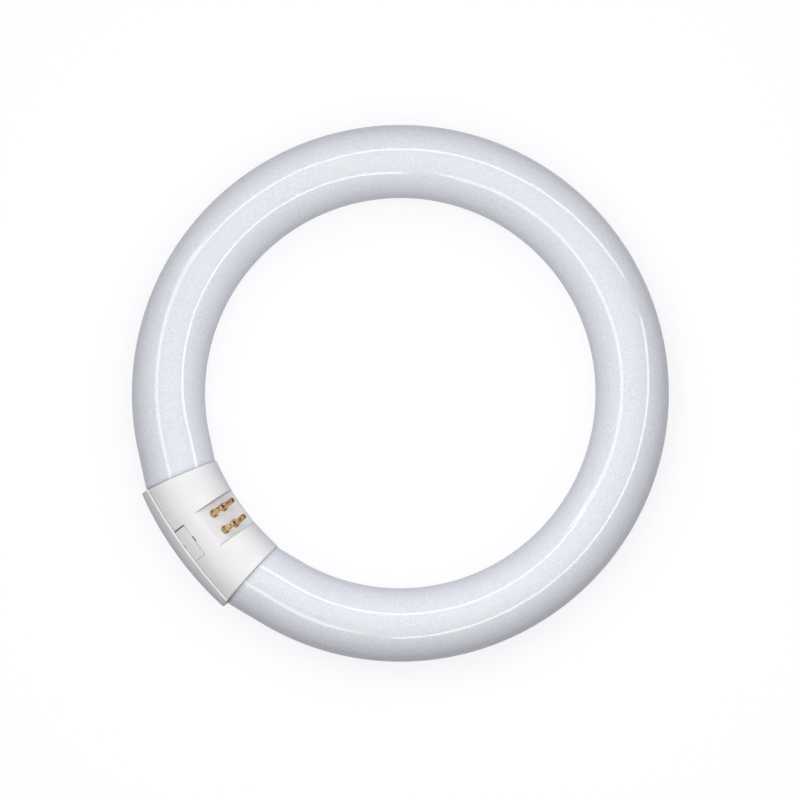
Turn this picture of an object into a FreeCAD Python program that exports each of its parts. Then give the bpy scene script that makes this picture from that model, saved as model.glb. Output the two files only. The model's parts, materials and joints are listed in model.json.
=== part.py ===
import FreeCAD, Part
import enum
import math
import os
import Sketcher

# A ring-shaped fluorescent tube with a clip-on base. The origin is the centre of the ring, in the
# plane of the tube's centre line. +Z is the ring's axis, on the side that the pins lean to, and the
# base sits on the -Y side, alike on both sides of the YZ plane. Lengths are in millimetres.

# Each driving size, its value and what it is on the lamp.
DRIVING_SIZES = [
    ("ring_diameter", 216.0, "outside diameter of the ring"),
    ("tube_diameter", 29.5, "outside diameter of the glass"),
    ("base_length", 49.0, "straight distance between the base's two ends"),
    ("base_bend_radius", 117.0, "bend of the base's own centre line"),
    ("base_standoff", 0.75, "base centre line out from the tube's circle, at the middle"),
    ("entry_set_in", 0.35, "tube centre in from the base's centre line, at its end face"),
    ("glass_entry", 6.0, "how far the sealed end reaches into the base"),
    ("exhaust_tip_diameter", 4.4, "sealed-off exhaust tube in the stem's middle"),
    ("exhaust_tip_reach", 2.5, "how far the exhaust tip stands past the sealed end"),
    ("lead_stand_off", 1.3, "lead wires' middle out from the exhaust tip"),
    ("stem_floor_edge", 2.5, "stem's floor out from the middle of the lead wires"),
    ("stem_taper", 2.6, "how much the re-entrant stem widens to its mouth"),
    ("stem_depth", 4.5, "depth of the re-entrant stem"),
    ("rim_land", 1.15, "flat rim round the stem's mouth, inside the rounded shoulder"),
    ("lip_wall", 1.15, "front shell outside the glass, at the thin end lip"),
    ("rear_step", 0.9, "rear shell's surface out from the front shell's"),
    ("shell_wall", 1.4, "wall of both shells"),
    ("end_wall", 6.4, "thickness of the shells' end walls, which hold the glass"),
    ("end_round", 0.5, "rounded outer edge of the shells' ends"),
    ("rim_round", 0.4, "rounded outer edge of the rear shell's rim"),
    ("seat_clearance", 0.2, "room between the glass and its seat"),
    ("seam_drop", 0.8, "seam between the shells, below the base's centre line"),
    ("seam_lip_height", 1.6, "front shell's lip inside the rear shell"),
    ("seam_lip_clearance", 0.15, "room between that lip and the rear shell"),
    ("seam_lip_end_gap", 1.0, "room between that lip's ends and the end walls"),
    ("pin_slant", 45.0, "angle from the ring's plane to the pins, in degrees"),
    ("pocket_width", 16.6, "plug pocket along the base"),
    ("pocket_depth", 4.5, "plug pocket's floor below the front shell's surface"),
    ("pocket_run_out", 5.0, "rounding from the pocket's floor to the shell's surface"),
    ("run_out_crossing", 0.15, "how far that rounding reaches past the surface it meets"),
    ("pocket_wall", 1.2, "walls at the two sides of the pocket"),
    ("floor_wall", 1.6, "floor of the pocket, which holds the pins"),
    ("pin_pitch_along", 7.92, "pin spacing along the base"),
    ("pin_pitch_across", 6.35, "pin spacing across the base"),
    ("pin_shift", 0.8, "pin pattern's middle, outward from the base's centre line"),
    ("pin_diameter", 2.35, "outside of a contact pin"),
    ("pin_length", 7.0, "contact pin above the pocket's floor"),
    ("pin_bore", 1.1, "hollow of a contact pin"),
    ("pin_tip_round", 0.35, "rounding of a pin's tip"),
    ("pin_collar_diameter", 3.3, "collar that stops a pin on the pocket's floor"),
    ("pin_collar_height", 0.8, "height of that collar"),
    ("pin_rivet_diameter", 3.1, "rim rolled over under the pocket's floor"),
    ("pin_rivet_height", 0.5, "height of that rim"),
    ("pin_hole_clearance", 0.03, "room round a pin in its hole"),
    ("crimp_level", 4.9, "middle of the crimp dents above the pocket's floor"),
    ("crimp_width", 0.7, "width of a crimp dent round the pin"),
    ("crimp_jaw_radius", 0.85, "rounded jaw that presses each crimp dent"),
    ("crimp_depth", 0.3, "depth of a crimp dent"),
    ("latch_width", 14.0, "rear shell's latch tongue along the base"),
    ("latch_top", 5.1, "top of the tongue above the base's centre line"),
    ("latch_root", 4.0, "root of the tongue below the seam"),
    ("latch_tongue", 1.0, "thickness of the tongue"),
    ("latch_side_gap", 0.3, "mean gap at the tongue's two ends"),
    ("latch_top_gap", 0.15, "gap above the tongue"),
    ("latch_play", 0.18, "how far the tongue sits to one side in its notch"),
    ("relief_width", 2.2, "slit over the tongue's middle that frees the latch"),
    ("relief_height", 0.5, "height of that slit above the gap over the tongue"),
    ("relief_shift", 0.25, "slit's middle, to the side away from the tongue's play"),
    ("latch_backing", 1.5, "front shell's pad behind the tongue"),
    ("latch_under_gap", 0.15, "room between the tongue and that pad"),
    ("catch_width", 6.0, "catch on the pad along the base"),
    ("catch_low", 1.2, "foot of the catch above the base's centre line"),
    ("catch_high", 2.8, "top of the catch above the base's centre line"),
    ("catch_rise", 0.5, "how far the catch stands into the tongue"),
    ("catch_clearance", 0.15, "room round the catch in the tongue's recess"),
    ("lead_diameter", 0.5, "bare lead wire"),
    ("lead_straight", 9.0, "lead wire straight out of the stem"),
    ("lead_turn_level", 0.6, "where a lead turns up to its pin, above the base's centre line"),
    ("lead_end_gap", 0.6, "end of the wire below the pin's tip"),
    ("sleeve_diameter", 1.3, "insulating sleeve on a lead wire"),
    ("sleeve_clearance", 0.05, "room between a sleeve and its wire"),
    ("sleeve_start", 1.0, "sleeve's start from the stem's floor"),
    ("sleeve_stop", 0.4, "sleeve's end below the pin's rolled rim"),
]

# Sizes worked out from the driving ones.
WORKED_SIZES = [
    ("tube_radius", "sizes.tube_diameter / 2"),
    ("ring_radius", "(sizes.ring_diameter - sizes.tube_diameter) / 2"),
    ("base_centre", "ring_radius + sizes.base_standoff"),
    ("bend_centre", "sizes.base_bend_radius - base_centre"),
    ("base_angle", "asin(sizes.base_length / 2 / sizes.base_bend_radius) / 1 deg"),
    ("hollow_angle", "base_angle - sizes.end_wall / sizes.base_bend_radius * 180 / pi"),
    ("lip_angle", "hollow_angle - sizes.seam_lip_end_gap / sizes.base_bend_radius * 180 / pi"),
    ("entry_reach", "sizes.base_bend_radius - sizes.entry_set_in"),
    ("entry_x", "entry_reach * sin(base_angle)"),
    ("entry_y", "bend_centre - entry_reach * cos(base_angle)"),
    ("entry_radius", "sqrt(entry_x ^ 2 + entry_y ^ 2)"),
    ("entry_run", "sqrt(entry_radius ^ 2 - ring_radius ^ 2)"),
    ("entry_angle", "asin(entry_x / entry_radius) / 1 deg"),
    ("run_angle", "entry_angle + acos(ring_radius / entry_radius) / 1 deg"),
    ("run_x", "ring_radius * sin(run_angle)"),
    ("run_y", "-ring_radius * cos(run_angle)"),
    ("tip_radius", "sizes.exhaust_tip_diameter / 2"),
    ("lead_spread", "tip_radius + sizes.lead_stand_off"),
    ("stem_floor_radius", "lead_spread + sizes.stem_floor_edge"),
    ("stem_mouth_radius", "stem_floor_radius + sizes.stem_taper"),
    ("rim_radius", "stem_mouth_radius + sizes.rim_land"),
    ("shoulder_radius", "tube_radius - rim_radius"),
    ("run_length", "entry_run + sizes.glass_entry - shoulder_radius"),
    ("glass_end", "run_length + shoulder_radius"),
    ("stem_floor", "glass_end - sizes.stem_depth"),
    ("tip_end", "glass_end + sizes.exhaust_tip_reach"),
    ("front_radius", "tube_radius + sizes.lip_wall"),
    ("front_hollow", "front_radius - sizes.shell_wall"),
    ("rear_radius", "front_radius + sizes.rear_step"),
    ("rear_hollow", "rear_radius - sizes.shell_wall"),
    ("reach_past", "2 * rear_radius"),
    ("pocket_level", "front_radius - sizes.pocket_depth"),
    ("run_out_level", "pocket_level - sizes.pocket_run_out"),
    ("run_out_centre", "front_radius - sizes.pocket_run_out + sizes.run_out_crossing"),
    ("floor_side", "sqrt(run_out_centre ^ 2 - run_out_level ^ 2)"),
    ("run_out_share", "1 + sizes.pocket_run_out / run_out_centre"),
    ("pin_foot", "pocket_level - sizes.floor_wall - sizes.pin_rivet_height"),
    ("pin_floor", "sizes.floor_wall + sizes.pin_rivet_height"),
    ("pin_top", "pin_floor + sizes.pin_length"),
    ("latch_inside", "front_radius - sizes.latch_tongue"),
    ("pad_outside", "latch_inside - sizes.latch_under_gap"),
    ("pad_inside", "pad_outside - sizes.latch_backing"),
    ("notch_half", "sizes.latch_width / 2 + sizes.latch_side_gap"),
    ("pad_half", "notch_half + sizes.shell_wall"),
]

# The pins' places in the base's own frame, along it and across it. Outward is the minus side.
PIN_PLACES = [
    (f"{side}sizes.pin_pitch_along / 2", f"-sizes.pin_shift {step} sizes.pin_pitch_across / 2")
    for side in ("", "-") for step in ("-", "+")
]
# The lamp's side that feeds each pin, and whether its lead leaves above or below the exhaust tip.
LAMP_SIDES = [1, 1, -1, -1]
LEAD_RISES = [1, -1, 1, -1]

ZERO = 1e-9
FULL_TURN = 360.0
QUARTER_TURN = 90.0
DENT_COUNT = 4
CORNER_SHARE = 0.45


class Point(enum.IntEnum):
    """The points of an edge in a sketch."""
    START = 1
    END = 2
    CENTRE = 3


class Axis(enum.IntEnum):
    """A sketch's own axes."""
    LEVEL = -1
    UPRIGHT = -2


doc = FreeCAD.newDocument("circular_fluorescent_tube")


def fill_sheet(name, rows):
    """A sheet with one named cell a row."""
    sheet = doc.addObject("Spreadsheet::Sheet", name)
    for number, row in enumerate(rows, start=1):
        sheet.set(f"A{number}", row[0])
        sheet.set(f"B{number}", row[1] if isinstance(row[1], str) else str(row[1]))
        sheet.setAlias(f"B{number}", row[0])
        if len(row) > 2:
            sheet.set(f"C{number}", row[2])
    return sheet


sizes = fill_sheet("sizes", DRIVING_SIZES)
doc.recompute()
worked = fill_sheet("worked", [(name, "=" + formula) for name, formula in WORKED_SIZES])
doc.recompute()


def number(expression):
    """The value that an expression on the sheets has now."""
    return float(sizes.evalExpression(expression))


def bind(thing, expressions):
    """Ties properties of an object to the sheets."""
    for name, expression in expressions.items():
        thing.setExpression(name, expression)


# Helpers for plain solids and for what is made from them

def add_bend(name, radius, angle="worked.base_angle"):
    """A round bar along the base's centre line, to the given angle each side of its middle."""
    bar = doc.addObject("Part::Torus", name)
    bar.Placement = FreeCAD.Placement(FreeCAD.Vector(), FreeCAD.Rotation(FreeCAD.Vector(0, 0, 1), 1))
    bind(bar, {
        "Radius1": "sizes.base_bend_radius",
        "Radius2": radius,
        "Angle3": f"2 * ({angle})",
        "Placement.Base.y": "worked.bend_centre",
        "Placement.Rotation.Angle": f"(270 - ({angle})) * 1 deg",
    })
    return bar


def add_box(name, along, across, up):
    """A box between a low and a high expression each way, in the base's own frame."""
    box = doc.addObject("Part::Box", name)
    for side, axis, (low, high) in (("Length", "x", along), ("Width", "y", across), ("Height", "z", up)):
        bind(box, {side: f"({high}) - ({low})", f"Placement.Base.{axis}": low})
    return box


def in_base_frame(name, things):
    """Moves things from the base's own frame, with z along the pins, to their place on the lamp."""
    group = doc.addObject("Part::Compound", name)
    group.Links = things
    group.Placement = FreeCAD.Placement(FreeCAD.Vector(), FreeCAD.Rotation(FreeCAD.Vector(1, 0, 0), -1))
    bind(group, {
        "Placement.Base.y": "-worked.base_centre",
        "Placement.Rotation.Angle": "(90 - sizes.pin_slant) * -1 deg",
    })
    return group


def cut(name, solid, tool):
    result = doc.addObject("Part::Cut", name)
    result.Base = solid
    result.Tool = tool
    return result


def overlap(name, one, other):
    result = doc.addObject("Part::Common", name)
    result.Base = one
    result.Tool = other
    return result


def join(name, things):
    result = doc.addObject("Part::MultiFuse", name)
    result.Shapes = things
    result.Refine = True
    return result


def add_curved_plate(name, inner, outer, along, up, angle="worked.base_angle"):
    """Plates that follow the base's round section on both its sides, inside a box in its frame."""
    outside = add_bend(name + "_outer", outer, angle)
    inside = add_bend(name + "_inner", inner, angle)
    ring = cut(name + "_ring", outside, inside)
    across = ("-worked.reach_past", "worked.reach_past")
    window = in_base_frame(name + "_window", [add_box(name + "_box", along, across, up)])
    return overlap(name, ring, window)


def round_edges(name, solid, radius, chosen):
    """Rounds those edges of a solid that the given test picks."""
    doc.recompute()
    size = number(radius)
    rounded = doc.addObject("Part::Fillet", name)
    rounded.Base = solid
    rounded.Edges = [
        (index, size, size) for index, edge in enumerate(solid.Shape.Edges, start=1) if chosen(edge)]
    return rounded


def is_end_circle(edge):
    """Whether an edge is the round outline of a bar's end."""
    return edge.isClosed() and isinstance(edge.Curve, Part.Circle)


def is_outer_rim(edge):
    """Whether an edge is the rear shell's outer edge in the plane of the seam."""
    middle = edge.valueAt((edge.FirstParameter + edge.LastParameter) / 2)
    slant = math.radians(number("sizes.pin_slant"))
    level = (middle.y + number("worked.base_centre")) * math.cos(slant) + middle.z * math.sin(slant)
    bend = math.hypot(middle.x, middle.y - number("worked.bend_centre"))
    outward = math.hypot(bend - number("sizes.base_bend_radius"), middle.z)
    in_seam = abs(level + number("sizes.seam_drop")) < number("sizes.rim_round / 2")
    return in_seam and outward > number("worked.rear_radius - sizes.shell_wall / 2")


# Helpers for sketched and turned solids

def origin_plane(body, role):
    return [part for part in body.Origin.OriginFeatures if part.Role == role][0]


def tie(sketch, edge, point, x=None, y=None):
    """Holds a point of an edge at expressions measured from the sketch's origin."""
    for kind, axis, expression in (("DistanceX", Axis.UPRIGHT, x), ("DistanceY", Axis.LEVEL, y)):
        if expression is None:
            continue
        value = number(expression)
        if abs(value) < ZERO:
            sketch.addConstraint(Sketcher.Constraint("PointOnObject", edge, point, axis))
            continue
        held = sketch.addConstraint(Sketcher.Constraint(kind, edge, point, value))
        sketch.setExpression(f"Constraints[{held}]", expression)


def add_outline(body, name, plane, corners):
    """A closed outline through corners (x, y). A corner (x, y, centre x, centre y) starts an arc."""
    sketch = body.newObject("Sketcher::SketchObject", name)
    sketch.AttachmentSupport = [(origin_plane(body, plane), "")]
    sketch.MapMode = "FlatFace"
    places = [FreeCAD.Vector(number(corner[0]), number(corner[1]), 0) for corner in corners]
    count = len(corners)
    ends = []
    for index, corner in enumerate(corners):
        here = places[index]
        there = places[(index + 1) % count]
        edge = Part.LineSegment(here, there)
        ways = (Point.START, Point.END)
        if len(corner) == 4:
            centre = FreeCAD.Vector(number(corner[2]), number(corner[3]), 0)
            half_way = (here + there) / 2 - centre
            middle = centre + half_way.normalize() * here.distanceToPoint(centre)
            # An arc is kept counter-clockwise, so one that runs the other way is drawn backwards.
            if (here - centre).cross(there - centre).z < 0:
                here, there = there, here
                ways = (Point.END, Point.START)
            edge = Part.Arc(here, middle, there)
        sketch.addGeometry(edge, False)
        ends.append(ways)
    for index, corner in enumerate(corners):
        after = (index + 1) % count
        meet = Sketcher.Constraint("Coincident", index, ends[index][1], after, ends[after][0])
        sketch.addConstraint(meet)
        tie(sketch, index, ends[index][0], corner[0], corner[1])
        if len(corner) == 4:
            tie(sketch, index, Point.CENTRE, x=corner[2])
    return sketch


def turn(body, sketch, axis):
    """A full turn of the sketch about its own level (H_Axis) or upright (V_Axis) axis."""
    turned = body.newObject("PartDesign::Revolution", sketch.Name + "_turned")
    turned.Profile = sketch
    turned.ReferenceAxis = (sketch, [axis])
    turned.Angle = FULL_TURN
    sketch.Visibility = False
    body.Tip = turned
    return turned


def place_at_run(sketch):
    """Puts a sketch at the start of the glass's straight run, its level axis along the run."""
    sketch.AttachmentOffset = FreeCAD.Placement(
        FreeCAD.Vector(), FreeCAD.Rotation(FreeCAD.Vector(0, 0, 1), 1))
    bind(sketch, {
        "AttachmentOffset.Base.x": "worked.run_x",
        "AttachmentOffset.Base.y": "worked.run_y",
        "AttachmentOffset.Rotation.Angle": "(180 + worked.run_angle) * 1 deg",
    })


def mirror_sides(body, feature):
    """Repeats a feature on the other side of the YZ plane."""
    mirrored = body.newObject("PartDesign::Mirrored", feature.Name + "_mirrored")
    mirrored.Originals = [feature]
    mirrored.MirrorPlane = (origin_plane(body, "YZ_Plane"), [""])
    body.Tip = mirrored
    return mirrored


# The glass: one bent tube with a straight run and a sealed end on each side of the base

def make_glass_tube():
    body = doc.addObject("PartDesign::Body", "glass_tube")
    section = body.newObject("Sketcher::SketchObject", "tube_section")
    section.AttachmentSupport = [(origin_plane(body, "YZ_Plane"), "")]
    section.MapMode = "FlatFace"
    centre = FreeCAD.Vector(number("worked.ring_radius"), 0, 0)
    upward = FreeCAD.Vector(0, 0, 1)
    section.addGeometry(Part.Circle(centre, upward, number("worked.tube_radius")), False)
    tie(section, 0, Point.CENTRE, "worked.ring_radius", "0")
    wide = section.addConstraint(Sketcher.Constraint("Radius", 0, number("worked.tube_radius")))
    section.setExpression(f"Constraints[{wide}]", "worked.tube_radius")
    bend = body.newObject("PartDesign::Revolution", "tube_bend")
    bend.Profile = section
    bend.ReferenceAxis = (section, ["V_Axis"])
    bend.Midplane = True
    bend.setExpression("Angle", "360 - 2 * worked.run_angle")
    body.Tip = bend
    end = add_outline(body, "sealed_end", "XY_Plane", [
        ("0", "0"),
        ("0", "worked.tube_radius"),
        ("worked.run_length", "worked.tube_radius", "worked.run_length", "worked.rim_radius"),
        ("worked.glass_end", "worked.rim_radius"),
        ("worked.glass_end", "worked.stem_mouth_radius"),
        ("worked.stem_floor", "worked.stem_floor_radius"),
        ("worked.stem_floor", "worked.tip_radius"),
        ("worked.tip_end - worked.tip_radius", "worked.tip_radius",
         "worked.tip_end - worked.tip_radius", "0"),
        ("worked.tip_end", "0"),
    ])
    place_at_run(end)
    mirror_sides(body, turn(body, end, "H_Axis"))
    return body


def make_glass_seats():
    """The room that the two shells leave for the glass and its leads."""
    body = doc.addObject("PartDesign::Body", "glass_seats")
    wide = "worked.tube_radius + sizes.seat_clearance"
    narrow = "worked.rim_radius + sizes.seat_clearance"
    inner_end = "worked.glass_end + sizes.end_wall"
    stop = "worked.run_length + sizes.seat_clearance"
    seat = add_outline(body, "glass_seat", "XY_Plane", [
        ("0", "0"),
        ("0", wide),
        (stop, wide, stop, narrow),
        ("worked.glass_end + sizes.seat_clearance", narrow),
        (inner_end, narrow),
        (inner_end, "0"),
    ])
    place_at_run(seat)
    mirror_sides(body, turn(body, seat, "H_Axis"))
    return body


# The base: two shells that close round the sealed ends

def make_pin_holes():
    """Cutters for the four holes in the pocket's floor."""
    holes = []
    for index, (along, across) in enumerate(PIN_PLACES, start=1):
        hole = doc.addObject("Part::Cylinder", f"pin_hole_{index}")
        bind(hole, {
            "Radius": "sizes.pin_diameter / 2 + sizes.pin_hole_clearance",
            "Height": "sizes.pin_length",
            "Placement.Base.x": along,
            "Placement.Base.y": across,
            "Placement.Base.z": "worked.pin_foot",
        })
        holes.append(hole)
    return holes


def make_plug_pocket():
    """Cutter for the plug's pocket, whose flat floor runs out into the shell's surface at both sides."""
    body = doc.addObject("PartDesign::Body", "plug_pocket")
    outside = "worked.reach_past"
    end_across = "worked.floor_side * worked.run_out_share"
    end_up = "worked.run_out_level * worked.run_out_share"
    section = add_outline(body, "pocket_section", "YZ_Plane", [
        ("-worked.floor_side", "worked.pocket_level"),
        ("worked.floor_side", "worked.pocket_level", "worked.floor_side", "worked.run_out_level"),
        (end_across, end_up),
        (outside, end_up),
        (outside, outside),
        ("-" + outside, outside),
        ("-" + outside, end_up),
        ("-" + end_across, end_up, "-worked.floor_side", "worked.run_out_level"),
    ])
    pad = body.newObject("PartDesign::Pad", "pocket_length")
    pad.Profile = section
    pad.Midplane = True
    pad.setExpression("Length", "sizes.pocket_width")
    body.Tip = pad
    return body


def make_front_shell(seats):
    """The pin side: a hollow bend with end walls, the plug's pocket, a lip and two latch notches."""
    bar = add_bend("front_bar", "worked.front_radius")
    blank = round_edges("front_blank", bar, "sizes.end_round", is_end_circle)
    hollow = add_bend("front_hollow", "worked.front_hollow", "worked.hollow_angle")
    wall = cut("front_wall", blank, hollow)
    pocket_outside = "sizes.pocket_width / 2 + sizes.pocket_wall"
    across = ("-worked.reach_past", "worked.reach_past")
    well_box = add_box(
        "well_box", ("-(" + pocket_outside + ")", pocket_outside), across,
        ("worked.pocket_level - sizes.floor_wall", "worked.reach_past"))
    well_blank = add_bend("well_blank", "worked.front_radius")
    well = overlap("pocket_well", well_blank, in_base_frame("well_place", [well_box]))
    pad = add_curved_plate(
        "latch_pad", "worked.pad_inside", "worked.front_hollow + sizes.shell_wall / 2",
        ("-worked.pad_half", "worked.pad_half"),
        ("-sizes.seam_drop", "sizes.latch_top + sizes.latch_top_gap + sizes.shell_wall"))
    whole = join("front_whole", [wall, well, pad])
    below = add_box(
        "below_seam", ("-worked.reach_past", "worked.reach_past"), across,
        ("-worked.reach_past", "-sizes.seam_drop"))
    room = in_base_frame("front_room", [below, make_plug_pocket()] + make_pin_holes())
    open_front = cut("front_open", whole, room)
    notch = add_curved_plate(
        "latch_notch", "worked.pad_outside", "worked.rear_radius + sizes.rear_step",
        ("-worked.notch_half", "worked.notch_half"),
        ("-sizes.seam_drop - sizes.latch_root", "sizes.latch_top + sizes.latch_top_gap"))
    relief = add_curved_plate(
        "latch_relief", "worked.latch_inside", "worked.rear_radius + sizes.rear_step",
        ("-sizes.relief_width / 2 - sizes.relief_shift", "sizes.relief_width / 2 - sizes.relief_shift"),
        ("sizes.latch_top", "sizes.latch_top + sizes.latch_top_gap + sizes.relief_height"))
    notched = cut("front_notched", cut("front_latched", open_front, notch), relief)
    lips = []
    for name, low, high in (
            ("seam_lip_left", "-worked.reach_past", "-worked.notch_half"),
            ("seam_lip_right", "worked.notch_half", "worked.reach_past")):
        lips.append(add_curved_plate(
            name, "worked.front_hollow", "worked.rear_hollow - sizes.seam_lip_clearance",
            (low, high), ("-sizes.seam_drop - sizes.seam_lip_height", "sizes.seam_lip_height"),
            "worked.lip_angle"))
    catch = add_curved_plate(
        "latch_catch", "worked.pad_outside - sizes.latch_backing / 2",
        "worked.latch_inside + sizes.catch_rise - sizes.catch_clearance",
        ("-sizes.catch_width / 2", "sizes.catch_width / 2"),
        ("sizes.catch_low", "sizes.catch_high"))
    joined = join("front_joined", [notched, catch] + lips)
    shell = cut("front_shell", joined, seats)
    return shell


def make_rear_shell(seats):
    """The plain side: a hollow bend with end walls and the two latch tongues."""
    bar = add_bend("rear_bar", "worked.rear_radius")
    blank = round_edges("rear_blank", bar, "sizes.end_round", is_end_circle)
    hollow = add_bend("rear_hollow", "worked.rear_hollow", "worked.hollow_angle")
    wall = cut("rear_wall", blank, hollow)
    across = ("-worked.reach_past", "worked.reach_past")
    above = add_box(
        "above_seam", ("-worked.reach_past", "worked.reach_past"), across,
        ("-sizes.seam_drop", "worked.reach_past"))
    sharp_half = cut("rear_sharp_half", wall, in_base_frame("above_place", [above]))
    half = round_edges("rear_half", sharp_half, "sizes.rim_round", is_outer_rim)
    tongue = add_curved_plate(
        "latch_tongue", "worked.latch_inside", "worked.front_radius",
        ("-sizes.latch_width / 2 + sizes.latch_play", "sizes.latch_width / 2 + sizes.latch_play"),
        ("-sizes.seam_drop - sizes.latch_root", "sizes.latch_top"))
    recess = add_curved_plate(
        "catch_recess", "worked.latch_inside - sizes.catch_clearance",
        "worked.latch_inside + sizes.catch_rise",
        ("-sizes.catch_width / 2 - sizes.latch_side_gap", "sizes.catch_width / 2 + sizes.latch_side_gap"),
        ("sizes.catch_low - sizes.catch_clearance", "sizes.catch_high + sizes.catch_clearance"))
    latch = cut("latch", tongue, recess)
    joined = join("rear_joined", [half, latch])
    return cut("rear_shell", joined, seats)


# The contacts: hollow pins and the leads that run into them

def make_contact_pin(index, along, across):
    """A hollow brass pin, its foot rolled over under the floor and its collar on the floor."""
    name = f"contact_pin_{index}"
    body = doc.addObject("PartDesign::Body", name)
    collar_top = "worked.pin_floor + sizes.pin_collar_height"
    outline = add_outline(body, f"pin_section_{index}", "XZ_Plane", [
        ("sizes.pin_bore / 2", "0"),
        ("sizes.pin_rivet_diameter / 2", "0"),
        ("sizes.pin_rivet_diameter / 2", "sizes.pin_rivet_height"),
        ("sizes.pin_diameter / 2", "sizes.pin_rivet_height"),
        ("sizes.pin_diameter / 2", "worked.pin_floor"),
        ("sizes.pin_collar_diameter / 2", "worked.pin_floor"),
        ("sizes.pin_collar_diameter / 2", collar_top),
        ("sizes.pin_diameter / 2", collar_top),
        ("sizes.pin_diameter / 2", "worked.pin_top - sizes.pin_tip_round",
         "sizes.pin_diameter / 2 - sizes.pin_tip_round", "worked.pin_top - sizes.pin_tip_round"),
        ("sizes.pin_diameter / 2 - sizes.pin_tip_round", "worked.pin_top"),
        ("sizes.pin_bore / 2", "worked.pin_top"),
    ])
    turn(body, outline, "V_Axis")
    dent = body.newObject("PartDesign::SubtractiveCylinder", f"crimp_dent_{index}")
    dent.AttachmentSupport = [(origin_plane(body, "XY_Plane"), "")]
    dent.MapMode = "FlatFace"
    dent.AttachmentOffset = FreeCAD.Placement(
        FreeCAD.Vector(), FreeCAD.Rotation(FreeCAD.Vector(1, 0, 0), QUARTER_TURN))
    bind(dent, {
        "Radius": "sizes.crimp_jaw_radius",
        "Height": "sizes.crimp_width",
        "AttachmentOffset.Base.x":
            "sizes.pin_diameter / 2 + sizes.crimp_jaw_radius - sizes.crimp_depth",
        "AttachmentOffset.Base.y": "sizes.crimp_width / 2",
        "AttachmentOffset.Base.z": "worked.pin_floor + sizes.crimp_level",
    })
    body.Tip = dent
    ring = body.newObject("PartDesign::PolarPattern", f"crimp_dents_{index}")
    ring.Originals = [dent]
    ring.Axis = (outline, ["V_Axis"])
    ring.Angle = FULL_TURN
    ring.Occurrences = DENT_COUNT
    body.Tip = ring
    body.Placement = FreeCAD.Placement(FreeCAD.Vector(), FreeCAD.Rotation(FreeCAD.Vector(1, 0, 0), -1))
    bind(body, {
        "Placement.Base.x": along,
        "Placement.Base.y": f"-worked.base_centre + ({across}) * sin(sizes.pin_slant)"
                            " + worked.pin_foot * cos(sizes.pin_slant)",
        "Placement.Base.z": f"worked.pin_foot * sin(sizes.pin_slant) - ({across}) * cos(sizes.pin_slant)",
        "Placement.Rotation.Angle": "(90 - sizes.pin_slant) * -1 deg",
    })
    return body


def from_base_frame(along, across, up):
    """A point of the base's own frame on the lamp."""
    slant = math.radians(number("sizes.pin_slant"))
    return FreeCAD.Vector(
        along,
        up * math.cos(slant) + across * math.sin(slant) - number("worked.base_centre"),
        up * math.sin(slant) - across * math.cos(slant))


def from_run_frame(side, along, outward, up):
    """A point given from the start of a straight run of the glass."""
    angle = math.radians(number("worked.run_angle"))
    x = number("worked.run_x") - along * math.cos(angle) + outward * math.sin(angle)
    y = number("worked.run_y") - along * math.sin(angle) - outward * math.cos(angle)
    return FreeCAD.Vector(side * x, y, up)


def round_route(points, skip_first=0.0, skip_last=0.0):
    """Straight runs through the points, joined by tangent arcs as large as the runs allow.

    The route starts and stops the given distances inside its first and last point."""
    edges = []
    leave = points[0] + (points[1] - points[0]).normalize() * skip_first
    stop = points[-1] + (points[-2] - points[-1]).normalize() * skip_last
    for before, corner, after in zip(points, points[1:], points[2:]):
        back = before - corner
        ahead = after - corner
        half_turn = (math.pi - back.getAngle(ahead)) / 2
        cut_back = CORNER_SHARE * min(back.Length, ahead.Length)
        bisector = (back.normalize() + ahead.normalize()).normalize()
        radius = cut_back / math.tan(half_turn)
        start = corner + back * cut_back
        finish = corner + ahead * cut_back
        middle = corner + bisector * (radius / math.cos(half_turn) - radius)
        edges.append(Part.LineSegment(leave, start).toShape())
        edges.append(Part.Arc(start, middle, finish).toShape())
        leave = finish
    edges.append(Part.LineSegment(leave, stop).toShape())
    return Part.Wire(edges)


def sweep_round(route, radius):
    """A round bar of the given radius along a route."""
    first = route.Edges[0]
    section = Part.Wire(Part.Circle(first.valueAt(0), first.tangentAt(0), radius).toShape())
    return route.makePipeShell([section], True, False)


def make_lead(index, side, along, across, up):
    """A lead wire from the stem into its pin, and the sleeve over its free length."""
    stem = from_run_frame(side, number("worked.stem_floor"), 0, up)
    clear = from_run_frame(side, number("worked.stem_floor + sizes.lead_straight"), 0, up)
    turn_up = from_base_frame(number(along), number(across), number("sizes.lead_turn_level"))
    top = number("worked.pin_foot + worked.pin_top - sizes.lead_end_gap")
    tip = from_base_frame(number(along), number(across), top)
    points = [stem, clear, turn_up, tip]
    wire = doc.addObject("Part::Feature", f"lead_wire_{index}")
    wire.Shape = sweep_round(round_route(points), number("sizes.lead_diameter / 2"))
    in_pin = top - number("worked.pin_foot - sizes.sleeve_stop")
    route = round_route(points, number("sizes.sleeve_start"), in_pin)
    outside = sweep_round(route, number("sizes.sleeve_diameter / 2"))
    inside = sweep_round(route, number("sizes.lead_diameter / 2 + sizes.sleeve_clearance"))
    sleeve = doc.addObject("Part::Feature", f"lead_sleeve_{index}")
    sleeve.Shape = outside.cut(inside)
    return [wire, sleeve]


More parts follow.
